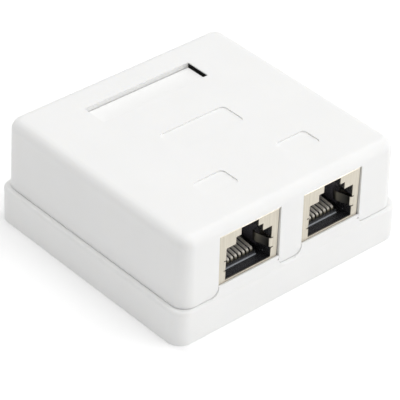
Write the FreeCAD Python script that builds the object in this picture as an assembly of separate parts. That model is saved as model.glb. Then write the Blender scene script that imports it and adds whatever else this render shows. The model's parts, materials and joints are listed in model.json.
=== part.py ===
import FreeCAD, Part
import math
import os

# Surface mount jack box with two shielded 8P8C ports.  Millimetres, +Z up.
# The origin is the middle of the base's underside; the ports open towards -Y.
os.makedirs("parts", exist_ok=True)

# --- case shells ---
base_wall = 2.2            # outer wall of the base tray
base_floor = 2.0
base_corner_radius = 3.25
base_edge_radius = 0.7     # rounding along the top of the plinth
cover_wall = 2.0
cover_top_wall = 2.0
cover_draft = 1.2          # degrees each side
cover_corner_radius = 3.2
cover_edge_radius = 2.5    # rounding between the walls and the top
ledge_side = 1.3           # how far the plinth stands out at the sides
ledge_front = 0.6          # and at the front and back
seam_gap = 0.12            # between cover and base, all along the seam
left_foot_radius = 1.85    # rounded cover corner at the left foot of each window
right_foot_radius = 0.9    # and at the right foot
corner_relief = 0.4        # notch in the tongue over the right foot
tab_thickness = 1.2        # upright tabs that locate the cover
tab_length = 6.0
tab_rise = 2.5             # above the plinth
tab_clearance = 0.2
tab_nose = 0.15            # snap nose, inside the clearance
nose_rise = 1.0            # plinth top to the nose
nose_height = 1.0
nose_room = 0.2            # round the nose in its groove
rib_length = 3.0           # low ribs between floor and side walls
rib_width = 1.2
rib_height = 3.0
side_tab_spacing = 17.0
rear_tab_spacing = 36.0
knockout_width = 8.0       # thin cable entries in the rear wall, left closed
knockout_height = 7.0
knockout_skin = 0.8
knockout_spacing = 22.0

# --- circuit board ---
board_thickness = 1.6
board_standoff = 5.0       # floor to underside
board_clearance = 0.4
board_side_margin = 6.05   # jack side to board edge
board_rear_margin = 5.4    # terminal block to rear edge
rest_width = 4.0           # square rests under the corners of the board
rest_inset = 3.2
plinth_rise = 1.0          # plinth top above the board's underside
tail_length = 1.1          # pins past the underside
hole_clearance = 0.12

# --- jacks ---
jack_pitch = 22.0
pair_offset = -0.475       # middle of the pair from the middle of the case
jack_width = 15.7
jack_height = 13.0
jack_length = 18.6
jack_setback = 0.45        # shield face behind the cover face
sheet = 0.3                # shield steel
window_clearance = 0.15
headroom = 0.6             # shield top to the inside of the cover
port_width = 11.9
port_floor_rise = 1.9      # port floor above the board
port_height = 7.55
step_width = 7.05          # latch slot, wide step
step_height = 1.65
notch_width = 4.5          # latch slot, narrow step, open up to the top sheet
sill_drop = 0.5            # tongue top below the port floor
sill_gap = 0.05            # tongue to shield face
fold_radius = 0.4          # outside of the folds round the shield face
insert_clearance = 0.05
cavity_depth = 13.0        # shield face to the end of the port
channel_drop = 0.5         # channels beside the contact carrier, below the port floor
carrier_side = 0.35        # outer contact to the side of the carrier
carrier_rise = 0.85        # carrier top above the port floor, where a plug slides
carrier_depth = 2.5        # shield face to the carrier
carrier_step = 0.25        # foot of the carrier, ahead of its front wall
carrier_step_drop = 0.6
comb_depth = 2.9           # shield face to the bend of the contacts
latch_depth = 8.0
contact_pitch = 1.02
contact_width = 0.6
contact_thickness = 0.3
contact_bend = 0.45
contact_rise = 1.7         # top of the bend above the port floor
contact_angle = 7.0
groove_clearance = 0.09
exit_depth = 1.3           # slots behind the port that the wire ends stand in
exit_rise = 3.2
wire_rise = 0.7            # hidden run of the contacts above the board
tail_inset = 2.3           # rear row of pins from the back of the jack
tail_row_gap = 2.5
post_radius = 1.6          # plastic locating posts
post_spacing = 11.43
post_inset = 6.3           # shield face to the posts
post_length = 0.8          # past the underside of the board
leg_width = 1.8            # shield legs
leg_inset = 9.7            # shield face to the legs
leg_clearance = 0.3
spring_width = 2.1         # side grounding springs
spring_rise = 3.4          # port floor to the middle of the spring
spring_thickness = 0.25
spring_reach = 2.9
spring_angle = 17.0
spring_root = 0.5          # spring's fold from the edge of the opening

# --- terminal blocks ---
slit_pitch = 3.8
slit_width = 0.9
slit_depth = 7.2
slit_lead = 0.6            # how far the mouth of a slit widens each side
block_end = 2.5            # outer slit to the end of the block
row_depth = 5.0
row_channel = 2.4          # between the two rows of towers
block_height = 12.0
block_gap = 2.6            # jack to block
blade_width = 2.4
blade_thickness = 0.4
blade_top_drop = 2.0
blade_slot = 0.35
blade_foot = 1.4           # blade shoulder above the board
pin_width = 0.6
pocket_clearance = 0.1

# --- cable clamp and entries ---
cable_radius = 3.1
cable_spacing = 9.2
clamp_depth = 4.0
clamp_rise = 7.0           # floor to the parting line of the clamp
clamp_bar = 1.8
clamp_gap = 0.6            # board to clamp
boss_radius = 2.7
boss_reach = 3.0           # arch to boss centre
entry_gap = 1.0            # clamp to floor opening
entry_width = 14.0
entry_depth = 7.6
entry_margin = 1.05        # floor opening to rear wall

# --- screws and wall fixing ---
screw_radius = 1.1
screw_length = 5.8
screw_head_radius = 2.2
screw_head_height = 1.5
screw_head_chamfer = 0.5
screw_fit = 0.02
cross_width = 0.6
cross_length = 2.6
cross_depth = 1.0
wall_hole_radius = 2.1
wall_hole_spacing = 42.0
wall_hole_inset = 9.25     # from the rear face

# --- top of the cover ---
label_length = 28.05
label_width = 6.2
label_offset = -0.175
label_inset = 8.4          # from the rear face
label_drop = 1.1           # strip surface below the top
label_thickness = 0.8
label_clearance = 0.15
label_seat_gap = 0.05
label_floor = 1.2          # wall under the strip
slot_reach = 1.75          # pry slot under the skin at the right end, open to the inside
slot_side = 1.8            # and how far it runs on behind the strip
slot_lip = 0.25            # skin over the slot, thin at its edge
slot_root = 0.8
stop_width = 0.3           # low stop that keeps the strip from sliding into the slot
stop_height = 0.35
field_depth = 0.3
middle_field_length = 17.4
middle_field_width = 6.7
middle_field_radius = 1.2
port_field_length = 8.1
port_field_width = 5.25
port_field_radius = 1.0
port_field_shift = 0.94    # right of each jack
port_field_inset = 12.375  # from the front face

# --- sizes and places that follow ---
board_width = jack_pitch + jack_width + 2 * board_side_margin
side_build = ledge_side + cover_wall + tab_clearance + tab_thickness + board_clearance
base_width = board_width + 2 * side_build
block_width = 3 * slit_pitch + 2 * block_end
block_depth = 2 * row_depth + row_channel
base_depth = (ledge_front + jack_setback + jack_length + block_gap + block_depth + board_rear_margin
              + clamp_gap + clamp_depth + entry_gap + entry_depth + entry_margin + base_wall)
half_w = base_width / 2
half_d = base_depth / 2
board_bottom = base_floor + board_standoff
board_top = board_bottom + board_thickness
base_height = board_bottom + plinth_rise
cover_bottom = base_height + seam_gap
inner_top = board_top + jack_height + headroom
case_height = inner_top + cover_top_wall
slope = math.tan(math.radians(cover_draft))

cover_half_w = half_w - ledge_side
cover_half_d = half_d - ledge_front
jack_front = -cover_half_d + jack_setback
jack_back = jack_front + jack_length
jack_top = board_top + jack_height
jack_centres = {"left": pair_offset - jack_pitch / 2, "right": pair_offset + jack_pitch / 2}
port_floor = board_top + port_floor_rise
port_top = port_floor + port_height
step_top = port_top + step_height
sheet_under = jack_top - sheet
sill = port_floor - sill_drop
window_half = jack_width / 2 + window_clearance
window_top = jack_top + window_clearance
insert_front = jack_front + sheet + insert_clearance
insert_back = jack_back - sheet - insert_clearance
cavity_back = jack_front + cavity_depth
bend_front = jack_front + comb_depth
channel_floor = port_floor - channel_drop
carrier_top = port_floor + carrier_rise
carrier_half = 3.5 * contact_pitch + contact_width / 2 + carrier_side
contact_top = port_floor + contact_rise
wire_low = board_top + wire_rise
tail_rows = [jack_back - tail_inset, jack_back - tail_inset - tail_row_gap]
spring_middle = port_floor + spring_rise

block_front = jack_back + block_gap
block_back = block_front + block_depth
block_top = board_top + block_height
slit_bottom = block_top - slit_depth
blade_top = block_top - blade_top_drop
board_front = -cover_half_d + cover_wall + board_clearance
board_back = block_back + board_rear_margin
screw_x = [jack_centres["left"] - jack_width / 2 - board_side_margin / 2,
           jack_centres["right"] + jack_width / 2 + board_side_margin / 2]
screw_y = jack_back + block_gap / 2
rest_y = [board_front + rest_inset, board_back - rest_inset]

clamp_front = board_back + clamp_gap
clamp_back = clamp_front + clamp_depth
clamp_middle = (clamp_front + clamp_back) / 2
clamp_line = base_floor + clamp_rise
arch_radius = cable_radius + clamp_bar
clamp_screw_x = cable_spacing / 2 + arch_radius + boss_reach
clamp_boss_radius = (clamp_depth + clamp_gap) / 2
entry_front = clamp_back + entry_gap
wall_hole_y = half_d - wall_hole_inset

label_back = half_d - label_inset
label_front = label_back - label_width
label_left = label_offset - label_length / 2
label_right = label_offset + label_length / 2
label_surface = case_height - label_drop
pocket_floor = label_surface - label_thickness - label_seat_gap


def vec(x, y, z):
    return FreeCAD.Vector(x, y, z)


def block(x0, x1, y0, y1, z0, z1):
    return Part.makeBox(x1 - x0, y1 - y0, z1 - z0, vec(x0, y0, z0))


def rod(x, y, z0, z1, radius):
    return Part.makeCylinder(radius, z1 - z0, vec(x, y, z0))


def rounded_outline(cx, cy, half_x, half_y, radius, z):
    """Closed rectangle with round corners, lying level at height z."""
    edges = []
    corners = [(1, 1), (-1, 1), (-1, -1), (1, -1)]
    ends = []
    for turn, (sx, sy) in enumerate(corners):
        mx, my = cx + sx * (half_x - radius), cy + sy * (half_y - radius)
        start = math.radians(90 * turn)
        points = [vec(mx + radius * math.cos(start + a), my + radius * math.sin(start + a), z)
                  for a in (0, math.pi / 4, math.pi / 2)]
        edges.append(Part.Arc(*points).toShape())
        ends.append((points[0], points[2]))
    for turn in range(4):
        edges.append(Part.LineSegment(ends[turn][1], ends[(turn + 1) % 4][0]).toShape())
    return Part.Wire(Part.__sortEdges__(edges))


def rounded_block(cx, cy, half_x, half_y, radius, z0, z1):
    face = Part.Face(rounded_outline(cx, cy, half_x, half_y, radius, z0))
    return face.extrude(vec(0, 0, z1 - z0))


def drafted_block(half_x, half_y, radius, z0, z1):
    """Upright block whose walls lean in by the mould draft."""
    lean = (z1 - z0) * slope
    low = rounded_outline(0, 0, half_x, half_y, radius, z0)
    high = rounded_outline(0, 0, half_x - lean, half_y - lean, radius - lean, z1)
    return Part.makeLoft([low, high], True, True)


def tapered_box(half_x, half_y, z0, z1):
    """Square-cornered block with the same lean."""
    wires = []
    for z in (z0, z1):
        lean = (z - z0) * slope
        points = [vec(sx * (half_x - lean), sy * (half_y - lean), z)
                  for sx, sy in ((1, 1), (-1, 1), (-1, -1), (1, -1))]
        wires.append(Part.makePolygon(points + [points[0]]))
    return Part.makeLoft(wires, True, True)


def prism(points, along):
    return Part.Face(Part.makePolygon(points + [points[0]])).extrude(along)


def edges_at(shape, z):
    """Edges that lie wholly at one height."""
    return [e for e in shape.Edges if abs(e.BoundBox.ZMin - z) < 1e-4 and abs(e.BoundBox.ZMax - z) < 1e-4]


def bent_strip(put, start, heading, moves, thickness):
    """Section of a bent strip: a centre line of straights and turns with an even thickness.
    put(u, v) places the flat section in space; a move is a length or a (radius, degrees) turn,
    and a turn of no radius is a sharp mitre between two lengths."""
    u, v = start
    angle = math.radians(heading)
    rows = {1: [], -1: []}
    mitres = {}
    half = thickness / 2

    def beside(u, v, angle, side):
        return u - side * half * math.sin(angle), v + side * half * math.cos(angle)

    for move in moves:
        if isinstance(move, tuple) and move[0] == 0:
            turn = math.radians(move[1])
            back = half * math.tan(turn / 2)
            for side in rows:
                a = beside(u, v, angle, side)
                mitres[side] = (a[0] - side * back * math.cos(angle), a[1] - side * back * math.sin(angle))
                rows[side][-1][-1] = mitres[side]
            angle += turn
        elif isinstance(move, tuple):
            radius, turn = move[0], math.radians(move[1])
            lean = 1 if turn > 0 else -1
            cu, cv = u - lean * radius * math.sin(angle), v + lean * radius * math.cos(angle)

            def swung(point, by):
                du, dv = point[0] - cu, point[1] - cv
                return (cu + du * math.cos(by) - dv * math.sin(by),
                        cv + du * math.sin(by) + dv * math.cos(by))
            for side in rows:
                a = beside(u, v, angle, side)
                rows[side].append([a, swung(a, turn / 2), swung(a, turn)])
            u, v = swung((u, v), turn)
            angle += turn
        else:
            nu, nv = u + move * math.cos(angle), v + move * math.sin(angle)
            for side in rows:
                rows[side].append([mitres.get(side, beside(u, v, angle, side)), beside(nu, nv, angle, side)])
            mitres = {}
            u, v = nu, nv
    edges = []
    for side in rows:
        for run in rows[side]:
            points = [put(*p) for p in run]
            edges.append((Part.Arc(*points) if len(points) == 3 else Part.LineSegment(*points)).toShape())
    for end, corner in ((0, 0), (-1, -1)):
        edges.append(Part.LineSegment(put(*rows[1][end][corner]), put(*rows[-1][end][corner])).toShape())
    return Part.Face(Part.Wire(Part.__sortEdges__(edges)))


def foot_curve(centre, side, gap, y):
    """Points of the rounded cover corner at one foot of a window: a quarter arc from the cover's
    lower edge up to the window's side, moved out from the cover by the gap."""
    radius = left_foot_radius if side < 0 else right_foot_radius
    mx, mz = centre + side * (window_half + radius), cover_bottom + radius
    return [vec(mx - side * (radius + gap) * math.sin(a), y, mz - (radius + gap) * math.cos(a))
            for a in (0, math.pi / 4, math.pi / 2)]


def cable_bores():
    """The two cable holes through the clamp and its saddle."""
    starts = [vec(side * cable_spacing / 2, clamp_front - 1, clamp_line) for side in (-1, 1)]
    return [Part.makeCylinder(cable_radius, clamp_depth + 2, start, vec(0, 1, 0)) for start in starts]


# ---------------------------------------------------------------- base
def tongue(centre):
    """Lip of the base that closes the foot of a jack window; its front slopes out to the plinth."""
    outer, inner = -half_d, jack_front - sill_gap
    low = base_height - base_edge_radius
    left, right = [foot_curve(centre, side, seam_gap, outer) for side in (-1, 1)]
    corners = [left[2], vec(left[2].x, outer, sill), vec(right[2].x, outer, sill), right[2]]
    feet = [right[0], vec(right[0].x, outer, low), vec(left[0].x, outer, low), left[0]]
    edges = [Part.Arc(*left).toShape(), Part.Arc(*right).toShape()]
    edges += [Part.LineSegment(a, b).toShape() for run in (corners, feet) for a, b in zip(run, run[1:])]
    body = Part.Face(Part.Wire(Part.__sortEdges__(edges))).extrude(vec(0, inner - outer, 0))
    face_y = -cover_half_d + (sill - cover_bottom) * slope
    start = left[0].x - 1
    ahead = prism([vec(start, outer - 1, low), vec(start, outer + 0.03, low), vec(start, face_y, sill),
                   vec(start, face_y, sill + 1), vec(start, outer - 1, sill + 1)],
                  vec(right[0].x - left[0].x + 2, 0, 0))
    relief = block(right[2].x - corner_relief, right[2].x + 1, outer - 1, inner + 1,
                   right[2].z, right[2].z + corner_relief)
    return body.cut([ahead, relief])


def make_base():
    tray = rounded_block(0, 0, half_w, half_d, base_corner_radius, 0, base_height)
    tray = tray.makeFillet(base_edge_radius, edges_at(tray, base_height))
    tray = tray.cut(rounded_block(0, 0, half_w - base_wall, half_d - base_wall,
                                  base_corner_radius - base_wall, base_floor, base_height + 1))
    adds = [tongue(c) for c in jack_centres.values()]
    # locating tabs inside the cover's walls, each with a small snap nose
    tab_top = base_height + tab_rise
    tab_x = cover_half_w - cover_wall - tab_clearance
    tab_y = cover_half_d - cover_wall - tab_clearance
    nose_low = base_height + nose_rise
    for y in (-side_tab_spacing, 0, side_tab_spacing):
        a, b = y - tab_length / 2, y + tab_length / 2
        for side in (-1, 1):
            face = side * tab_x
            adds.append(block(min(face, face - side * tab_thickness), max(face, face - side * tab_thickness),
                              a, b, base_floor - 0.5, tab_top))
            nose = [(-0.1, 0), (tab_nose, 0), (tab_nose, 0.3), (-0.1, nose_height)]
            adds.append(prism([vec(face + side * u, a + 1, nose_low + v) for u, v in nose],
                              vec(0, tab_length - 2, 0)))
    for x in (-rear_tab_spacing / 2, rear_tab_spacing / 2):
        adds.append(block(x - tab_length / 2, x + tab_length / 2, tab_y - tab_thickness, tab_y,
                          base_floor - 0.5, tab_top))
    # board bosses, clamp bosses and the saddle under the cables
    for x in screw_x:
        adds.append(rod(x, screw_y, base_floor - 0.5, board_bottom, boss_radius))
        for y in rest_y:
            adds.append(block(x - rest_width / 2, x + rest_width / 2, y - rest_width / 2, y + rest_width / 2,
                              base_floor - 0.5, board_bottom))
    for x in (-clamp_screw_x, clamp_screw_x):
        adds.append(rod(x, clamp_middle, base_floor - 0.5, clamp_line, clamp_boss_radius))
    saddle = cable_spacing / 2 + arch_radius
    adds.append(block(-saddle, saddle, clamp_front, clamp_back, base_floor - 0.5, clamp_line))
    # strengthening ribs between the floor and the side walls
    for x in (-1, 1):
        for y in (-side_tab_spacing / 2, side_tab_spacing / 2):
            edge = x * (half_w - base_wall + 0.5)
            adds.append(block(min(edge, edge - x * rib_length), max(edge, edge - x * rib_length),
                              y - rib_width / 2, y + rib_width / 2, base_floor - 0.5, base_floor + rib_height))
    tray = tray.fuse(adds)
    cuts = cable_bores()
    pilot = screw_radius + screw_fit
    for x in screw_x:
        cuts.append(rod(x, screw_y, board_top - screw_length - 0.4, board_bottom + 1, pilot))
    clamp_seat = clamp_line + clamp_bar
    for x in (-clamp_screw_x, clamp_screw_x):
        cuts.append(rod(x, clamp_middle, clamp_seat - screw_length - 0.4, clamp_line + 1, pilot))
    for x in (-wall_hole_spacing / 2, wall_hole_spacing / 2):
        cuts.append(rod(x, wall_hole_y, -1, base_floor + 1, wall_hole_radius))
    cuts.append(rounded_block(0, entry_front + entry_depth / 2, entry_width / 2, entry_depth / 2,
                              entry_depth / 2 - 0.05, -1, base_floor + 1))
    return tray.cut(cuts).removeSplitter()


# ---------------------------------------------------------------- cover
def make_cover():
    shell = drafted_block(cover_half_w, cover_half_d, cover_corner_radius, cover_bottom, case_height)
    shell = shell.makeFillet(cover_edge_radius, edges_at(shell, case_height))
    shell = shell.cut(tapered_box(cover_half_w - cover_wall, cover_half_d - cover_wall,
                                  cover_bottom, inner_top))
    # floor of the label recess, hung under the top wall
    shell = shell.fuse(block(label_left - label_floor, label_right + stop_width,
                             label_front - label_floor, label_back + label_floor,
                             pocket_floor - label_floor, inner_top + 0.1))
    cuts = []
    for centre in jack_centres.values():
        back = -cover_half_d + cover_wall + 1.0
        cuts.append(block(centre - window_half, centre + window_half, -half_d - 1, back,
                          cover_bottom - 1, window_top))
        # rounded lower corners at both feet of the window
        for side in (-1, 1):
            arc = foot_curve(centre, side, 0, -half_d - 1)
            corner = vec(arc[2].x - side * 0.05, arc[2].y, arc[0].z - 0.05)
            loop = [arc[2], vec(corner.x, corner.y, arc[2].z), corner,
                    vec(arc[0].x, corner.y, corner.z), arc[0]]
            edges = [Part.Arc(*arc).toShape()]
            edges += [Part.LineSegment(a, b).toShape() for a, b in zip(loop, loop[1:])]
            cuts.append(Part.Face(Part.Wire(Part.__sortEdges__(edges))).extrude(vec(0, back + half_d + 1, 0)))
        # bare port field behind the front edge
        cuts.append(rounded_block(centre + port_field_shift, -half_d + port_field_inset,
                                  port_field_length / 2, port_field_width / 2, port_field_radius,
                                  case_height - field_depth, case_height + 1))
    cuts.append(rounded_block(0, 0, middle_field_length / 2, middle_field_width / 2, middle_field_radius,
                              case_height - field_depth, case_height + 1))
    cuts.append(rounded_block(label_offset, label_back - label_width / 2, label_length / 2, label_width / 2,
                              0.3, pocket_floor, case_height + 1))
    # pry slot: square ends for the strip, a low stop, then an undercut down into the box
    cuts.append(block(label_right - 0.4, label_right, label_front, label_back,
                      pocket_floor, case_height - slot_lip))
    stop_top = pocket_floor + stop_height
    slot = [(0, stop_top), (stop_width, stop_top), (stop_width, inner_top - label_floor - 0.2),
            (slot_reach, inner_top - label_floor - 0.2), (slot_reach, case_height - slot_root),
            (0, case_height - slot_lip)]
    cuts.append(prism([vec(label_right + u, label_front, z) for u, z in slot],
                      vec(0, label_width + slot_side, 0)))
    # grooves that the snap noses stand in
    inner_x = cover_half_w - cover_wall
    groove_low = base_height + nose_rise - nose_room
    groove_high = base_height + nose_rise + nose_height + 2 * nose_room
    for y in (-side_tab_spacing, 0, side_tab_spacing):
        for side in (-1, 1):
            cuts.append(block(min(side * (inner_x - 0.3), side * (inner_x + 0.4)),
                              max(side * (inner_x - 0.3), side * (inner_x + 0.4)),
                              y - tab_length / 2, y + tab_length / 2, groove_low, groove_high))
    # closed knock-outs: the rear wall is thinned from inside
    for x in (-knockout_spacing / 2, knockout_spacing / 2):
        top = cover_bottom + knockout_height
        skin = cover_half_d - knockout_height * slope - knockout_skin
        inner_y = cover_half_d - cover_wall - knockout_height * slope - 0.2
        radius = knockout_width / 2
        slab = block(x - radius, x + radius, inner_y, skin, cover_bottom - 1, top - radius)
        arch = Part.makeCylinder(radius, skin - inner_y, vec(x, inner_y, top - radius), vec(0, 1, 0))
        cuts.append(slab.fuse(arch))
    return shell.cut(cuts).removeSplitter()


def make_label_strip():
    return rounded_block(label_offset, label_back - label_width / 2, label_length / 2 - label_clearance,
                         label_width / 2 - label_clearance, 0.2, pocket_floor + label_seat_gap, label_surface)


# ---------------------------------------------------------------- jacks
def port_outline(centre, y, grow, top):
    """Stepped opening of the port, a plug body with its latch slots above."""
    halves = [port_width / 2 + grow, step_width / 2 + grow, notch_width / 2 + grow]
    tops = [port_top + grow, step_top + grow, top]
    right = []
    z = port_floor - grow
    for half, upper in zip(halves, tops):
        right += [(half, z), (half, upper)]
        z = upper
    points = [vec(centre + x, y, z) for x, z in right] + [vec(centre - x, y, z) for x, z in reversed(right)]
    return points


def side_spring(centre, side):
    """Leaf folded in from the shield face that presses on a shielded plug."""
    root = port_width / 2 + spring_root

    def put(u, v):
        return vec(centre + side * (root - u), v, spring_middle - spring_width / 2)
    moves = [0.35, (0.35, 90 - spring_angle), spring_reach, (1.0, 2.4 * spring_angle), 0.6]
    strip = bent_strip(put, (-0.02, jack_front + sheet / 2), 0, moves, spring_thickness)
    return strip.extrude(vec(0, 0, spring_width))


def front_folds(shape, y, top):
    """Edges round a jack's front: its two uprights and the top."""
    return [e for e in shape.Edges if abs(e.BoundBox.YMin - y) < 1e-4 and abs(e.BoundBox.YMax - y) < 1e-4
            and e.BoundBox.ZMax > top - 1e-3]


def make_shield(centre):
    half = jack_width / 2
    shell = block(centre - half, centre + half, jack_front, jack_back, board_top, jack_top)
    shell = shell.makeFillet(fold_radius, front_folds(shell, jack_front, jack_top))
    hollow = block(centre - half + sheet, centre + half - sheet, jack_front + sheet, jack_back - sheet,
                   board_top - 1, jack_top - sheet)
    hollow = hollow.makeFillet(fold_radius - sheet, front_folds(hollow, jack_front + sheet, jack_top - sheet))
    shell = shell.cut(hollow)
    cuts = [prism(port_outline(centre, jack_front - 1, 0, sheet_under), vec(0, sheet + 1.5, 0))]
    pieces = []
    leg_y = jack_front + leg_inset
    for side in (-1, 1):
        near, far = centre + side * (port_width / 2 - 0.1), centre + side * (port_width / 2 + spring_root)
        low, high = spring_middle - spring_width / 2, spring_middle + spring_width / 2
        # relief slits above and below the leaf, whose root takes the place of the sheet between them
        cuts.append(block(min(near, far), max(near, far), jack_front - 1, jack_front + sheet + 0.01,
                          low - 0.25, high + 0.25))
        pieces.append(side_spring(centre, side))
        wall = min(centre + side * half, centre + side * (half - sheet))
        leg = [(-leg_width / 2, board_top + 0.1), (leg_width / 2, board_top + 0.1),
               (leg_width / 2, board_bottom), (leg_width / 4, board_bottom - tail_length),
               (-leg_width / 4, board_bottom - tail_length), (-leg_width / 2, board_bottom)]
        pieces.append(prism([vec(wall, leg_y + v, z) for v, z in leg], vec(sheet, 0, 0)))
    return shell.cut(cuts).fuse(pieces).removeSplitter()


def contact_x(centre, index):
    return centre + (index - 3.5) * contact_pitch


def make_contact(centre, index):
    """Sprung wire: a tail through the board, forward inside the carrier, up behind its front wall,
    round the bend and back over the carrier with a slight rise."""
    tail_y = tail_rows[index % 2]
    bottom = board_bottom - tail_length
    front_y = bend_front + contact_thickness / 2
    bend_z = contact_top - contact_thickness / 2 - contact_bend
    rise = (cavity_back + 0.8 - front_y - contact_bend) / math.cos(math.radians(contact_angle))
    moves = [wire_low - bottom, (0, 90), tail_y - front_y, (0, -90), bend_z - wire_low,
             (contact_bend, -(90 - contact_angle)), rise]
    x = contact_x(centre, index) - contact_width / 2

    def put(u, v):
        return vec(x, u, v)
    return bent_strip(put, (tail_y, bottom), 90, moves, contact_thickness).extrude(vec(contact_width, 0, 0))


def make_insert(centre):
    half = jack_width / 2 - sheet - insert_clearance
    top = sheet_under - insert_clearance
    body = block(centre - half, centre + half, insert_front, insert_back, board_top, top)
    body = body.makeChamfer(fold_radius - sheet, front_folds(body, insert_front, top))
    grow = 0.05
    width = port_width / 2 + grow
    cuts = [prism(port_outline(centre, insert_front - 1, grow, step_top + grow + 0.01),
                  vec(0, cavity_back - insert_front + 1, 0)),
            block(centre - width, centre + width, insert_front - 1, cavity_back, channel_floor, port_floor),
            block(centre - notch_width / 2 - grow, centre + notch_width / 2 + grow, insert_front - 1,
                  jack_front + latch_depth, step_top, top + 1)]
    for side in (-1, 1):
        near, far = centre + side * (port_width / 2 - 1), centre + side * (half + 1)
        cuts.append(block(min(near, far), max(near, far), insert_front - 1, jack_front + spring_reach + 2.0,
                          spring_middle - spring_width / 2 - 0.35, spring_middle + spring_width / 2 + 0.35))
    body = body.cut(cuts)
    # contact carrier: a stepped foot, a front wall and combed slots behind it
    front = jack_front + carrier_depth
    root, back = channel_floor - 0.3, cavity_back + 0.2
    step = carrier_top - carrier_step_drop
    carrier = [(front - carrier_step, root), (front - carrier_step, step), (front, step),
               (front, carrier_top), (back, carrier_top), (back, root)]
    body = body.fuse(prism([vec(centre - carrier_half, y, z) for y, z in carrier],
                           vec(2 * carrier_half, 0, 0)))
    slots = []
    groove = contact_width / 2 + groove_clearance
    gap = contact_thickness / 2 + groove_clearance
    for index in range(8):
        x = contact_x(centre, index)
        tail_y = tail_rows[index % 2]
        slots.append(block(x - groove, x + groove, bend_front - groove_clearance, tail_y + gap,
                           wire_low - gap, wire_low + gap))
        slots.append(block(x - groove, x + groove, bend_front - groove_clearance, bend_front + 1.2,
                           wire_low, carrier_top + 1))
        slots.append(block(x - groove, x + groove, tail_y - gap, tail_y + gap, board_top - 1, wire_low))
        slots.append(block(x - groove, x + groove, cavity_back - 0.1, cavity_back + exit_depth,
                           carrier_top, carrier_top + exit_rise))
    body = body.cut(slots)
    posts = [rod(x, jack_front + post_inset, board_bottom - post_length, board_top + 0.2, post_radius)
             for x in (centre - post_spacing / 2, centre + post_spacing / 2)]
    return body.fuse(posts).removeSplitter()


# ---------------------------------------------------------------- terminal blocks
def slit_places(centre):
    """Middle of each of the eight slits, front row first."""
    rows = (block_front + row_depth / 2, block_back - row_depth / 2)
    return [(centre + (i - 1.5) * slit_pitch, y) for y in rows for i in range(4)]


def make_terminal_block(centre):
    half = block_width / 2
    body = block(centre - half, centre + half, block_front, block_back, board_top, block_top)
    crown = [e for e in edges_at(body, block_top) if e.BoundBox.YLength < 1e-4]
    body = body.makeChamfer(1.0, crown)
    cuts = [block(centre - half - 1, centre + half + 1, block_front + row_depth, block_back - row_depth,
                  slit_bottom - 0.8, block_top + 1)]
    for x, y in slit_places(centre):
        row = (y - row_depth / 2 - 0.5, y + row_depth / 2 + 0.5)
        cuts.append(block(x - slit_width / 2, x + slit_width / 2, row[0], row[1], slit_bottom, block_top + 1))
        mouth = slit_width / 2 + slit_lead
        cuts.append(prism([vec(x - slit_width / 2, row[0], block_top - 2 * slit_lead),
                           vec(x - mouth, row[0], block_top + 0.01), vec(x + mouth, row[0], block_top + 0.01),
                           vec(x + slit_width / 2, row[0], block_top - 2 * slit_lead)],
                          vec(0, row[1] - row[0], 0)))
        wide = blade_width / 2 + pocket_clearance
        thick = blade_thickness / 2 + pocket_clearance
        cuts.append(block(x - wide, x + wide, y - thick, y + thick, board_top + blade_foot, block_top + 1))
        cuts.append(block(x - pin_width / 2 - pocket_clearance, x + pin_width / 2 + pocket_clearance,
                          y - thick, y + thick, board_top - 1, board_top + blade_foot + 0.1))
    return body.cut(cuts).removeSplitter()


def make_terminal(x, y):
    """Forked blade that cuts through the insulation of a wire pressed into its slot."""
    y0 = y - blade_thickness / 2
    foot = board_top + blade_foot
    half, pin, slot = blade_width / 2, pin_width / 2, blade_slot / 2
    low = slit_bottom + 0.2
    right = [(pin, board_bottom - tail_length), (pin, foot), (half, foot), (half, blade_top - 0.6),
             (half - 0.4, blade_top), (slot + 0.45, blade_top), (slot, blade_top - 0.9), (slot, low)]
    points = [vec(x + u, y0, z) for u, z in right] + [vec(x - u, y0, z) for u, z in reversed(right)]
    return prism(points, vec(0, blade_thickness, 0))


# ---------------------------------------------------------------- board, clamp and screws
def pin_hole(x, y, across):
    """Six-sided hole for a pin, as wide as given across its flats."""
    reach = across / 2 / math.cos(math.pi / 6)
    turns = [math.radians(60 * i + 30) for i in range(6)]
    return prism([vec(x + reach * math.cos(a), y + reach * math.sin(a), board_bottom - 1) for a in turns],
                 vec(0, 0, board_thickness + 2))


def make_board():
    board = block(-board_width / 2, board_width / 2, board_front, board_back, board_bottom, board_top)
    holes = []
    for centre in jack_centres.values():
        for index in range(8):
            across = math.hypot(contact_width, contact_thickness) + 2 * hole_clearance
            holes.append(pin_hole(contact_x(centre, index), tail_rows[index % 2], across))
        for x in (centre - post_spacing / 2, centre + post_spacing / 2):
            holes.append(rod(x, jack_front + post_inset, board_bottom - 1, board_top + 1,
                             post_radius + hole_clearance))
        leg_y = jack_front + leg_inset
        for side in (-1, 1):
            x = centre + side * (jack_width / 2 - sheet / 2)
            wide, long = sheet / 2 + leg_clearance, leg_width / 2 + leg_clearance
            holes.append(block(x - wide, x + wide, leg_y - long, leg_y + long,
                               board_bottom - 1, board_top + 1))
        for x, y in slit_places(centre):
            holes.append(pin_hole(x, y, math.hypot(pin_width, blade_thickness) + 2 * hole_clearance))
    for x in screw_x:
        holes.append(rod(x, screw_y, board_bottom - 1, board_top + 1, screw_radius + 0.3))
    return board.cut(holes)


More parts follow.
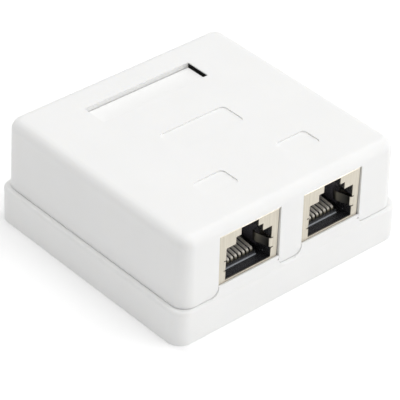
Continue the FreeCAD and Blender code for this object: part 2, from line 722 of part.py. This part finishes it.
def make_clamp():
    reach = clamp_screw_x + boss_radius + 0.3
    bar = block(-reach, reach, clamp_front, clamp_back, clamp_line, clamp_line + clamp_bar)
    arches = [Part.makeCylinder(arch_radius, clamp_depth, vec(x, clamp_front, clamp_line), vec(0, 1, 0))
              for x in (-cable_spacing / 2, cable_spacing / 2)]
    holes = cable_bores()
    for x in (-clamp_screw_x, clamp_screw_x):
        holes.append(rod(x, clamp_middle, clamp_line - 1, clamp_line + clamp_bar + 1, screw_radius + 0.3))
    lower = block(-half_w, half_w, clamp_front - 1, clamp_back + 1, 0, clamp_line)
    return bar.fuse(arches).cut(holes + [lower]).removeSplitter()


def make_screw(x, y, seat):
    """Pan-head screw with a cross recess; seat is the height of the underside of its head."""
    top = seat + screw_head_height
    head = rod(x, y, seat, top, screw_head_radius)
    head = head.makeChamfer(screw_head_chamfer, edges_at(head, top))
    shank = rod(x, y, seat - screw_length, seat + 0.1, screw_radius)
    arm, wide = cross_length / 2, cross_width / 2
    cross = [block(x - arm, x + arm, y - wide, y + wide, top - cross_depth, top + 1),
             block(x - wide, x + wide, y - arm, y + arm, top - cross_depth, top + 1)]
    return head.fuse(shank).cut(cross).removeSplitter()


nodes = {"base": make_base(), "cover": make_cover(), "label_strip": make_label_strip(),
         "circuit_board": make_board(), "cable_clamp": make_clamp()}
for name, centre in jack_centres.items():
    nodes[name + "_jack_shield"] = make_shield(centre)
    nodes[name + "_jack_insert"] = make_insert(centre)
    nodes[name + "_terminal_block"] = make_terminal_block(centre)
    for index in range(8):
        nodes["%s_jack_contact_%d" % (name, index + 1)] = make_contact(centre, index)
        nodes["%s_terminal_%d" % (name, index + 1)] = make_terminal(*slit_places(centre)[index])
nodes["board_screws"] = Part.makeCompound([make_screw(x, screw_y, board_top) for x in screw_x])
nodes["clamp_screws"] = Part.makeCompound([make_screw(x, clamp_middle, clamp_line + clamp_bar)
                                           for x in (-clamp_screw_x, clamp_screw_x)])

for name, shape in nodes.items():
    shape.exportStep("parts/%s.step" % name)
print("%d nodes, case %.2f x %.2f x %.2f" % (len(nodes), base_width, base_depth, case_height))
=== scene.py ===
import bpy
import bmesh
import json
import math
from mathutils import Matrix, Vector


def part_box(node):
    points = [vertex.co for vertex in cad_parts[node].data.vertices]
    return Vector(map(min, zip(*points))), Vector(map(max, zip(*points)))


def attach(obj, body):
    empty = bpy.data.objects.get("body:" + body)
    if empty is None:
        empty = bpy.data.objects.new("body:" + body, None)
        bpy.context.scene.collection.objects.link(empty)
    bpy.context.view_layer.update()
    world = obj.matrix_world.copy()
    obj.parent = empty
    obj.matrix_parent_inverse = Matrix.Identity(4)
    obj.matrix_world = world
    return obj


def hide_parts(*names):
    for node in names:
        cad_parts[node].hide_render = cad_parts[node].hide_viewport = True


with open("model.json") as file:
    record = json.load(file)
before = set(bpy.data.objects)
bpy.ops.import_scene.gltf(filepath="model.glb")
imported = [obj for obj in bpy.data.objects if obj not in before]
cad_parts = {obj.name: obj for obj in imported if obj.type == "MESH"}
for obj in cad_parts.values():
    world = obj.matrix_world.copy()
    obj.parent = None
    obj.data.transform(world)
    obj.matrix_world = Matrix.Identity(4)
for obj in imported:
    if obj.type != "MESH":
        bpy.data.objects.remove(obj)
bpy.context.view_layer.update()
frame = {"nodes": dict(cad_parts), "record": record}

mm = 0.001
scene = bpy.context.scene
nodes = frame["nodes"]
slotOf = {part["node"]: part["material_slot"] for part in frame["record"]["subparts"]}
bodyOf = {node: body for body, members in frame["record"]["behaviour"]["bodies"].items() for node in members}
print("frame loaded:", len(nodes), "nodes")


def linear(code):  # sRGB hex to linear RGBA
    parts = [int(code[i:i + 2], 16) / 255 for i in (1, 3, 5)]
    return tuple(c / 12.92 if c <= 0.04045 else ((c + 0.055) / 1.055) ** 2.4 for c in parts) + (1.0,)


def metres(sizes):  # a dictionary of sizes in mm, as metres
    return {key: tuple(part * mm for part in value) if isinstance(value, tuple) else value * mm
            for key, value in sizes.items()}


def addNode(tree, kind, settings=None, values=None, links=None):
    node = tree.nodes.new(kind)
    for key, value in (settings or {}).items():
        setattr(node, key, value)
    for key, value in (values or {}).items():
        node.inputs[key].default_value = value
    for key, source in (links or {}).items():
        tree.links.new(source, node.inputs[key])
    return node


def startMaterial(name, values):
    material = bpy.data.materials.new(name)
    material.use_nodes = True
    tree = material.node_tree
    shader = tree.nodes["Principled BSDF"]
    for key, value in values.items():
        shader.inputs[key].default_value = value
    place = addNode(tree, "ShaderNodeTexCoord").outputs["Object"]
    return material, tree, shader, place


noiseRange = {"From Min": 0.3, "From Max": 0.7}  # where nearly all of a noise's values lie
# what all plastics here share: light travels 0.6 mm inside, redder the deeper, and the etch is 0.01 mm deep
plasticHabit = {"bleed": 0.6, "bleedTint": (1.0, 0.95, 0.85), "sheenSpread": 0.05, "relief": 0.01}
metalHabit = {"cloudSize": 4.0, "sheenSpread": 0.06, "relief": 0.01}


# injection moulded in a lightly etched tool: an even colour that drifts a little where the melt flowed,
# a soft sheen, and a fine grain, drawn coarser than the real 0.05 mm one so that it shows
def mouldedPlastic(name, look):
    material, tree, shader, place = startMaterial(name, {
        "IOR": look["ior"], "Specular IOR Level": look["gloss"], "Subsurface Weight": look["depth"],
        "Subsurface Radius": plasticHabit["bleedTint"], "Subsurface Scale": plasticHabit["bleed"] * mm})
    flow = addNode(tree, "ShaderNodeTexNoise", values={"Scale": 1 / (look["flowSize"] * mm), "Detail": 2.0},
                   links={"Vector": place})
    tint = addNode(tree, "ShaderNodeMix", {"data_type": "RGBA"},
                   {"A": linear(look["dark"]), "B": linear(look["light"])}, {"Factor": flow.outputs["Fac"]})
    tree.links.new(tint.outputs["Result"], shader.inputs["Base Color"])
    grain = addNode(tree, "ShaderNodeTexNoise", values={"Scale": 1 / (look["grainSize"] * mm), "Detail": 3.0},
                    links={"Vector": place})
    spread = plasticHabit["sheenSpread"]
    sheen = addNode(tree, "ShaderNodeMapRange", values={
        **noiseRange, "To Min": look["roughness"] - spread, "To Max": look["roughness"] + spread},
        links={"Value": grain.outputs["Fac"]})
    tree.links.new(sheen.outputs["Result"], shader.inputs["Roughness"])
    bump = addNode(tree, "ShaderNodeBump", values={
        "Strength": look["grainHeight"], "Distance": plasticHabit["relief"] * mm},
        links={"Height": grain.outputs["Fac"]})
    tree.links.new(bump.outputs["Normal"], shader.inputs["Normal"])
    return material


# rolled as strip, stamped and plated: faint rolling lines run along the strip, drawn wider than the real
# 0.02 mm ones so that they show, and the plating's gloss drifts in patches a few millimetres wide
def rolledMetal(name, look):
    material, tree, shader, place = startMaterial(name, {"Metallic": look.get("metallic", 1.0)})
    strip = addNode(tree, "ShaderNodeMapping", values={"Scale": look["strip"]}, links={"Vector": place})
    roll = addNode(tree, "ShaderNodeTexNoise", values={"Scale": 1 / (look["lineSize"] * mm), "Detail": 4.0},
                   links={"Vector": strip.outputs["Vector"]})
    tint = addNode(tree, "ShaderNodeMix", {"data_type": "RGBA"},
                   {"A": linear(look["dark"]), "B": linear(look["light"])}, {"Factor": roll.outputs["Fac"]})
    tree.links.new(tint.outputs["Result"], shader.inputs["Base Color"])
    cloud = addNode(tree, "ShaderNodeTexNoise", values={
        "Scale": 1 / (metalHabit["cloudSize"] * mm), "Detail": 2.0}, links={"Vector": place})
    spread = metalHabit["sheenSpread"]
    sheen = addNode(tree, "ShaderNodeMapRange", values={
        **noiseRange, "To Min": look["roughness"] - spread, "To Max": look["roughness"] + spread},
        links={"Value": cloud.outputs["Fac"]})
    tree.links.new(sheen.outputs["Result"], shader.inputs["Roughness"])
    bump = addNode(tree, "ShaderNodeBump", values={
        "Strength": look["lineHeight"], "Distance": metalHabit["relief"] * mm},
        links={"Height": roll.outputs["Fac"]})
    tree.links.new(bump.outputs["Normal"], shader.inputs["Normal"])
    return material


# the way a strip was rolled: its lines are 25 times longer than wide along that axis
rolled = {"upright": (1.0, 1.0, 0.04), "inwards": (1.0, 0.04, 1.0), "noWay": (1.0, 1.0, 1.0)}
finishes = {
    # ABS from an etched tool: an even white with a wide, soft sheen
    "case_white": mouldedPlastic("mouldedWhiteAbs", {
        "dark": "#f1f1f0", "light": "#f5f5f4", "ior": 1.54, "roughness": 0.46, "gloss": 0.32, "depth": 0.2,
        "flowSize": 9.0, "grainSize": 0.35, "grainHeight": 0.12}),
    # polycarbonate from a smoother tool: a shade brighter and glossier than the case
    "label_white": mouldedPlastic("mouldedWhitePolycarbonate", {
        "dark": "#f5f5f4", "light": "#f9f9f8", "ior": 1.58, "roughness": 0.34, "gloss": 0.45, "depth": 0.0,
        "flowSize": 6.0, "grainSize": 0.5, "grainHeight": 0.05}),
    # nickel over steel: a warm grey mirror, blurred, with upright streaks
    "shield_nickel": rolledMetal("rolledNickelSteel", {
        "dark": "#c2bbab", "light": "#e0dacd", "roughness": 0.34, "lineSize": 0.3, "lineHeight": 0.2,
        "strip": rolled["upright"]}),
    # nylon from a polished tool: nearly black, with narrow bright glints
    "insert_black": mouldedPlastic("mouldedBlackNylon", {
        "dark": "#2f2f31", "light": "#3b3b3e", "ior": 1.53, "roughness": 0.27, "gloss": 0.8, "depth": 0.0,
        "flowSize": 3.0, "grainSize": 0.2, "grainHeight": 0.2}),
    # bronze with a thin pale plating worn matt: a light, warm wire that hardly mirrors
    "contact_bronze": rolledMetal("platedBronzeStrip", {
        "dark": "#efe9dd", "light": "#fbf7ee", "metallic": 0.1, "roughness": 0.46, "lineSize": 0.1,
        "lineHeight": 0.1, "strip": rolled["inwards"]}),
    # bronze dipped in tin: a cool, pale grey blade
    "terminal_tinned": rolledMetal("tinnedBronzeBlade", {
        "dark": "#b9b9b6", "light": "#cfcfcc", "roughness": 0.35, "lineSize": 0.15, "lineHeight": 0.12,
        "strip": rolled["upright"]}),
    # PBT coloured ivory: dull and even
    "terminal_block_ivory": mouldedPlastic("mouldedIvoryPbt", {
        "dark": "#dfdbcc", "light": "#e6e2d6", "ior": 1.55, "roughness": 0.45, "gloss": 0.45, "depth": 0.1,
        "flowSize": 4.0, "grainSize": 0.3, "grainHeight": 0.1}),
    # glass laminate under solder mask: a deep green with a wet gloss
    "board_green": mouldedPlastic("solderMaskedLaminate", {
        "dark": "#0c4d2c", "light": "#115634", "ior": 1.5, "roughness": 0.24, "gloss": 0.6, "depth": 0.0,
        "flowSize": 7.0, "grainSize": 0.8, "grainHeight": 0.12}),
    # zinc plated steel: bright and slightly blue
    "screw_zinc": rolledMetal("zincPlatedSteel", {
        "dark": "#b4b6ba", "light": "#c9cbcf", "roughness": 0.3, "lineSize": 0.3, "lineHeight": 0.1,
        "strip": rolled["upright"]}),
    # nylon in its own colour: a warm white that lets a little light in
    "clamp_white": mouldedPlastic("mouldedWhiteNylon", {
        "dark": "#e6e5e1", "light": "#eceae7", "ior": 1.53, "roughness": 0.45, "gloss": 0.45, "depth": 0.2,
        "flowSize": 5.0, "grainSize": 0.3, "grainHeight": 0.1}),
}

# second colours inside the jacks, as bands in mm behind the shields' front and above the board's top:
# contacts drawn darker below their bend as painted shade, a painted highlight along the step's edge, painted
# light greying the moulding's deep inside, and painted shade on the grounding leaves at their roots
jackFront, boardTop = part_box("left_jack_shield")[0][1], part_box("circuit_board")[1][2]
# painted shade: the contacts are drawn in a dark, dull colour below 3 mm above the board's top
contactTailsPaintedShade = {"height": (-20.0, 3.0), "fade": 0.5, "colour": "#77715f"}
# painted highlight: a pale line along the step's edge inside each port
stepPaintedHighlight = {"depth": (2.2, 2.45), "height": (2.03, 2.2), "fade": 0.06, "colour": "#c3c8cf"}
# painted light: the moulding's deep inside, behind and above the step, is drawn a lighter grey
insidePaintedLight = {"depth": (4.4, 100.0), "height": (2.65, 100.0), "fade": 0.5, "colour": "#7b7880"}
# painted shade: the leaves are drawn darker still towards the shields' front
leafRootPaintedShade = {"depth": (-1.0, 0.6), "fade": 2.4, "colour": "#454340"}


# lays a band's colour over a finish: full inside the band, fading to nothing over a soft edge outside it
def layBand(material, band):
    tree = material.node_tree
    base = tree.nodes["Principled BSDF"].inputs["Base Color"]
    place = [node for node in tree.nodes if node.bl_idname == "ShaderNodeTexCoord"][0].outputs["Object"]
    axes = addNode(tree, "ShaderNodeSeparateXYZ", links={"Vector": place})
    soft, mask = band["fade"] * mm, None
    for way, axis, zero in (("depth", "Y", jackFront), ("height", "Z", boardTop)):
        if way not in band:
            continue
        low, high = [zero + edge * mm for edge in band[way]]
        for nothing, full in ((low - soft, low), (high + soft, high)):
            side = addNode(tree, "ShaderNodeMapRange", values={"From Min": nothing, "From Max": full},
                           links={"Value": axes.outputs[axis]}).outputs["Result"]
            mask = side if mask is None else addNode(
                tree, "ShaderNodeMath", {"operation": "MULTIPLY"}, links={0: mask, 1: side}).outputs["Value"]
    mix = addNode(tree, "ShaderNodeMix", {"data_type": "RGBA"}, {"B": linear(band["colour"])},
                  {"Factor": mask, "A": base.links[0].from_socket})
    tree.links.new(mix.outputs["Result"], base)


layBand(finishes["contact_bronze"], contactTailsPaintedShade)
layBand(finishes["insert_black"], stepPaintedHighlight)
layBand(finishes["insert_black"], insidePaintedLight)
# painted shade: the grounding leaves beside the ports, which are faces of the shield, are drawn in a greyer,
# darker metal than the shield
leafPaintedShadeMetal = rolledMetal("leafPaintedShade", {
    "dark": "#a09d94", "light": "#aeaba2", "roughness": 0.34, "lineSize": 0.2, "lineHeight": 0.15,
    "strip": rolled["inwards"]})
layBand(leafPaintedShadeMetal, leafRootPaintedShade)
for name, piece in nodes.items():
    piece.data.materials.clear()
    piece.data.materials.append(finishes[slotOf[name]])
print("finishes made:", len(finishes))


def addPiece(name, mesh, slot, body, replaced=(), coats=()):
    piece = bpy.data.objects.new(name, mesh)
    scene.collection.objects.link(piece)
    for coat in coats or [finishes[slot]]:
        mesh.materials.append(coat)
    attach(piece, body)
    if replaced:
        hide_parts(*replaced)
    return piece


softening = {"mergeWithin": 0.002, "flatWithin": 0.4, "sharpFrom": 38.0}  # mm, degrees, degrees
edgesOf = {  # radius in mm
    "cover": {"radius": 0.16, "steps": 3},
    "base": {"radius": 0.14, "steps": 2},
    "label_strip": {"radius": 0.12, "steps": 3},
    "cable_clamp": {"radius": 0.2, "steps": 2},
}
for side in ("left", "right"):
    edgesOf[side + "_jack_shield"] = {"radius": 0.05, "steps": 2}
    edgesOf[side + "_jack_insert"] = {"radius": 0.1, "steps": 2}
    edgesOf[side + "_terminal_block"] = {"radius": 0.12, "steps": 2}
for index in range(1, 9):
    for side in ("left", "right"):
        edgesOf["%s_jack_contact_%d" % (side, index)] = {"radius": 0.09, "steps": 2}
        edgesOf["%s_terminal_%d" % (side, index)] = {"radius": 0.04, "steps": 1}
edgesOf["board_screws"] = edgesOf["clamp_screws"] = {"radius": 0.12, "steps": 2}
# the leaves are the shield's faces this far inside its sides, behind its front and below its top
leaves = metres({"inside": 0.8, "behind": (0.5, 4.5), "below": 3.0})


# a CAD node's solid with its triangles merged and its sharp edges broken, as a mould or a press leaves them
def softenedPiece(node, edges):
    work = bmesh.new()
    work.from_mesh(nodes[node].data)
    bmesh.ops.remove_doubles(work, verts=work.verts, dist=softening["mergeWithin"] * mm)
    bmesh.ops.dissolve_limit(work, angle_limit=math.radians(softening["flatWithin"]),
                             verts=work.verts, edges=work.edges)
    for face in work.faces:
        face.smooth = True
    mesh = bpy.data.meshes.new(node + ".softened")
    work.to_mesh(mesh)
    work.free()
    piece = addPiece(node + ".softened", mesh, slotOf[node], bodyOf[node], (node,))
    rounding = piece.modifiers.new("edgeRounding", "BEVEL")
    rounding.width = edges["radius"] * mm
    rounding.segments = edges["steps"]
    rounding.limit_method = "ANGLE"
    rounding.angle_limit = math.radians(softening["sharpFrom"])
    rounding.harden_normals = False
    flats = piece.modifiers.new("flatFaces", "WEIGHTED_NORMAL")
    flats.keep_sharp = True
    return piece


for name, edges in edgesOf.items():
    piece = softenedPiece(name, edges)
    # the shield's leaf faces take the darker leaf metal: painted shade
    if name.endswith("_shield"):
        low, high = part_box(name)
        piece.data.materials.append(leafPaintedShadeMetal)
        for face in piece.data.polygons:
            spot = face.center
            inside = min(spot.x - low[0], high[0] - spot.x) > leaves["inside"]
            behind = leaves["behind"][0] < spot.y - low[1] < leaves["behind"][1]
            if inside and behind and high[2] - spot.z > leaves["below"]:
                face.material_index = 1
print("edges softened:", len(edgesOf), "pieces")

# copper shows through the mask as a lighter green
maskedCopper = mouldedPlastic("solderMaskedCopper", {
    "dark": "#1d7443", "light": "#238050", "ior": 1.5, "roughness": 0.22, "gloss": 0.65, "depth": 0.0,
    "flowSize": 5.0, "grainSize": 0.8, "grainHeight": 0.1})
# solder levelled by hot air: a bright face, a little uneven
tinnedCopper = rolledMetal("hotTinnedCopper", {
    "dark": "#c4c5c2", "light": "#dadbd8", "roughness": 0.26, "lineSize": 0.8, "lineHeight": 0.5,
    "strip": rolled["noWay"]})
# epoxy ink through a screen: a matt white line
whiteInk = mouldedPlastic("screenPrintedInk", {
    "dark": "#dfe3dc", "light": "#eef0ec", "ior": 1.5, "roughness": 0.6, "gloss": 0.3, "depth": 0.0,
    "flowSize": 1.0, "grainSize": 0.3, "grainHeight": 0.2})
boardFace = metres({"edgeGap": 0.06, "sink": 0.004})  # gap to jacks and blocks, and how deep print sits


def layTrack(work, points, width):  # a short edge across the first point, drawn along the others
    points = [Vector((x, y, 0)) for x, y in points]
    edge = None
    for index, point in enumerate(points):
        ahead = points[min(index + 1, len(points) - 1)] - points[max(index - 1, 0)]
        across = Vector((-ahead.y, ahead.x, 0)).normalized() * width / 2
        if edge is None:
            edge = work.edges.new([work.verts.new(point + across), work.verts.new(point - across)])
            continue
        drawn = bmesh.ops.extrude_edge_only(work, edges=[edge])["geom"]
        ends = [item for item in drawn if isinstance(item, bmesh.types.BMVert)]
        edge = [item for item in drawn if isinstance(item, bmesh.types.BMEdge)
                and all(end in item.verts for end in ends)][0]
        ends.sort(key=lambda end: (end.co - points[index - 1]).dot(across))
        ends[0].co, ends[1].co = point - across, point + across


def layOutline(work, low, high, width):
    corners = [(low[0], low[1]), (high[0], low[1]), (high[0], high[1]), (low[0], high[1])]
    for index, corner in enumerate(corners):
        layTrack(work, [corner, corners[(index + 1) % 4]], width)


def printedLayer(name, work, slot, finish, rise):
    drawn = bmesh.ops.extrude_face_region(work, geom=work.faces[:])["geom"]
    raised = [item for item in drawn if isinstance(item, bmesh.types.BMVert)]
    bmesh.ops.translate(work, vec=(0, 0, rise), verts=raised)
    bmesh.ops.recalc_face_normals(work, faces=work.faces)
    bmesh.ops.translate(work, vec=(0, 0, boardTop - boardFace["sink"]), verts=work.verts)
    mesh = bpy.data.meshes.new(name)
    work.to_mesh(mesh)
    work.free()
    addPiece(name, mesh, slot, "base", coats=[finish])


boardLow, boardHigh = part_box("circuit_board")
leftShield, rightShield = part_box("left_jack_shield"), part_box("right_jack_shield")
screwLow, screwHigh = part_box("board_screws")
screwRow = (screwLow[1] + screwHigh[1]) / 2
headRadius = (screwHigh[1] - screwLow[1]) / 2
screws = (screwLow[0] + headRadius, screwHigh[0] - headRadius)
gap = boardFace["edgeGap"]
# each side's parts of the board: shield, terminal block, place of its screw, and the way outwards
boardSides = [(leftShield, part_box("left_terminal_block"), screws[0], -1),
              (rightShield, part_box("right_terminal_block"), screws[1], 1)]

# copper tracks: lines and stubs are counted from a block's middle, and rows back from the shields' front
track = metres({"width": 0.34, "earthWidth": 1.0, "rise": 0.035, "leadOut": 0.35, "pinPitch": 1.27,
                "fan": (-5.7, -3.8, -1.9, -0.62, 0.62, 1.9, 3.8, 5.7),
                "stubs": (-5.7, -1.9, 1.9, 5.7), "stubEnds": (0.98, 2.08, 0.98, 2.08),
                "earthRows": (7.7, 14.2), "earthBend": 0.8, "earthRise": 2.4, "earthLink": (10.0, 14.9),
                "bridgeRows": (6.2, 15.2), "screwGap": 3.05})
tracks = bmesh.new()
for shield, block, screw, out in boardSides:
    middle = (block[0][0] + block[1][0]) / 2
    bend, end = shield[1][1] + gap + track["leadOut"], block[0][1] - gap
    for index, reach in enumerate(track["fan"]):  # the eight lines from the contacts to the terminals
        pin = middle + (index - (len(track["fan"]) - 1) / 2) * track["pinPitch"]
        terminal = middle + reach
        layTrack(tracks, [(pin, shield[1][1] + gap), (pin, bend), (terminal, bend + abs(terminal - pin)),
                          (terminal, end)], track["width"])
    for stub, reach in zip(track["stubs"], track["stubEnds"]):  # tuning stubs behind the terminals
        layTrack(tracks, [(middle + stub, block[1][1] + gap), (middle + stub, block[1][1] + reach)],
                 track["width"])
    wall = (shield[0] if out < 0 else shield[1])[0] + out * gap
    rows = [jackFront + row for row in track["earthRows"]]  # the shield's earth lines to the board screw
    for row, last in zip(rows, (rows[0] + track["earthRise"], screwRow - track["screwGap"])):
        layTrack(tracks, [(wall, row), (screw - out * track["earthBend"], row),
                          (screw, row + track["earthBend"]), (screw, last)], track["earthWidth"])
    layTrack(tracks, [(screw, jackFront + row) for row in track["earthLink"]], track["earthWidth"])
for row in track["bridgeRows"]:  # from shield to shield
    layTrack(tracks, [(leftShield[1][0] + gap, jackFront + row), (rightShield[0][0] - gap, jackFront + row)],
             track["earthWidth"])
printedLayer("board_tracks", tracks, "board_green", maskedCopper, track["rise"])

# tinned pads: sighting dots for the machine that places the parts, in line with the screws
pad = metres({"radius": 0.6, "rise": 0.035, "fromBack": 2.2, "fromFront": 3.2})
roundSteps = 28
pads = bmesh.new()
for screw in screws:
    for row in (boardHigh[1] - pad["fromBack"], boardLow[1] + pad["fromFront"]):
        bmesh.ops.create_circle(pads, cap_ends=True, segments=roundSteps, radius=pad["radius"],
                                matrix=Matrix.Translation((screw, row, 0)))
printedLayer("board_pads", pads, "terminal_tinned", tinnedCopper, pad["rise"])

# white outlines round the terminal blocks
outline = metres({"width": 0.16, "rise": 0.05, "away": 0.55})
ink = bmesh.new()
for _, block, _, _ in boardSides:
    layOutline(ink, (block[0][0] - outline["away"], block[0][1] - outline["away"]),
               (block[1][0] + outline["away"], block[1][1] + outline["away"]), outline["width"])
printedLayer("board_outlines", ink, "clamp_white", whiteInk, outline["rise"])
print("board printed: tracks, pads and outlines")

# plain pale floor lit a little from below like a light table, a wide soft box overhead,
# a lower one in front on the right, and a small one high behind that draws the rounded edges; sizes in mm
studio = {"floorSize": 6000.0, "floor": "#fdfdfd", "floorGlow": 0.085, "floorRoughness": 0.9,
          "floorGloss": 0.1, "sky": "#ffffff", "skyStrength": 0.39, "aim": (0.0, 0.0, 10.0)}
softBoxes = {
    "overheadBox": {"place": (220.0, -140.0, 1370.0), "size": 1300.0, "watts": 12.4},
    "frontalBox": {"place": (820.0, -860.0, 360.0), "size": 600.0, "watts": 3.5},
    "rearBox": {"place": (-100.0, 1080.0, 1350.0), "size": 300.0, "watts": 3.2},
}
floorMesh = bmesh.new()
bmesh.ops.create_grid(floorMesh, x_segments=1, y_segments=1, size=studio["floorSize"] / 2 * mm)
floorData = bpy.data.meshes.new("floor")
floorMesh.to_mesh(floorData)
floorMesh.free()
floor = bpy.data.objects.new("floor", floorData)
scene.collection.objects.link(floor)
floorPaper = startMaterial("paleFloorPaper", {  # matt paper, nearly white
    "Base Color": linear(studio["floor"]), "Roughness": studio["floorRoughness"],
    "Specular IOR Level": studio["floorGloss"],
    "Emission Color": linear(studio["floor"]), "Emission Strength": studio["floorGlow"]})[0]
floorData.materials.append(floorPaper)

world = bpy.data.worlds.new("softRoom")
world.use_nodes = True
world.node_tree.nodes["Background"].inputs["Color"].default_value = linear(studio["sky"])
world.node_tree.nodes["Background"].inputs["Strength"].default_value = studio["skyStrength"]
scene.world = world

for name, box in softBoxes.items():
    data = bpy.data.lights.new(name, "AREA")
    data.shape = "SQUARE"
    data.size = box["size"] * mm
    data.energy = box["watts"]
    lamp = bpy.data.objects.new(name, data)
    scene.collection.objects.link(lamp)
    lamp.location = Vector(box["place"]) * mm
    lamp.rotation_euler = (Vector(studio["aim"]) * mm - lamp.location).to_track_quat("-Z", "Y").to_euler()

# camera: turned round the case, with a slight roll; distances in mm, turns in degrees
shot = {"azimuth": -42.997, "elevation": 35.893, "roll": 2.568, "distance": 503.0,
        "right": 0.506, "up": 5.055, "lens": 219.48, "sensor": 36.0, "clip": (10.0, 50000.0)}
azimuth, elevation, roll = (math.radians(shot[key]) for key in ("azimuth", "elevation", "roll"))
back = Vector((math.sin(azimuth) * math.cos(elevation), -math.cos(azimuth) * math.cos(elevation),
               math.sin(elevation)))
side = Vector((math.cos(azimuth), math.sin(azimuth), 0))
top = back.cross(side)
side, top = math.cos(roll) * side + math.sin(roll) * top, -math.sin(roll) * side + math.cos(roll) * top
cameraData = bpy.data.cameras.new("camera")
cameraData.lens = shot["lens"]
cameraData.sensor_width = shot["sensor"]
cameraData.clip_start, cameraData.clip_end = [reach * mm for reach in shot["clip"]]
camera = bpy.data.objects.new("camera", cameraData)
camera.matrix_world = Matrix((side, top, back)).transposed().to_4x4()
camera.location = (back * shot["distance"] + side * shot["right"] + top * shot["up"]) * mm
scene.collection.objects.link(camera)
scene.camera = camera
scene.view_settings.view_transform = "Standard"
print("camera and lights placed")
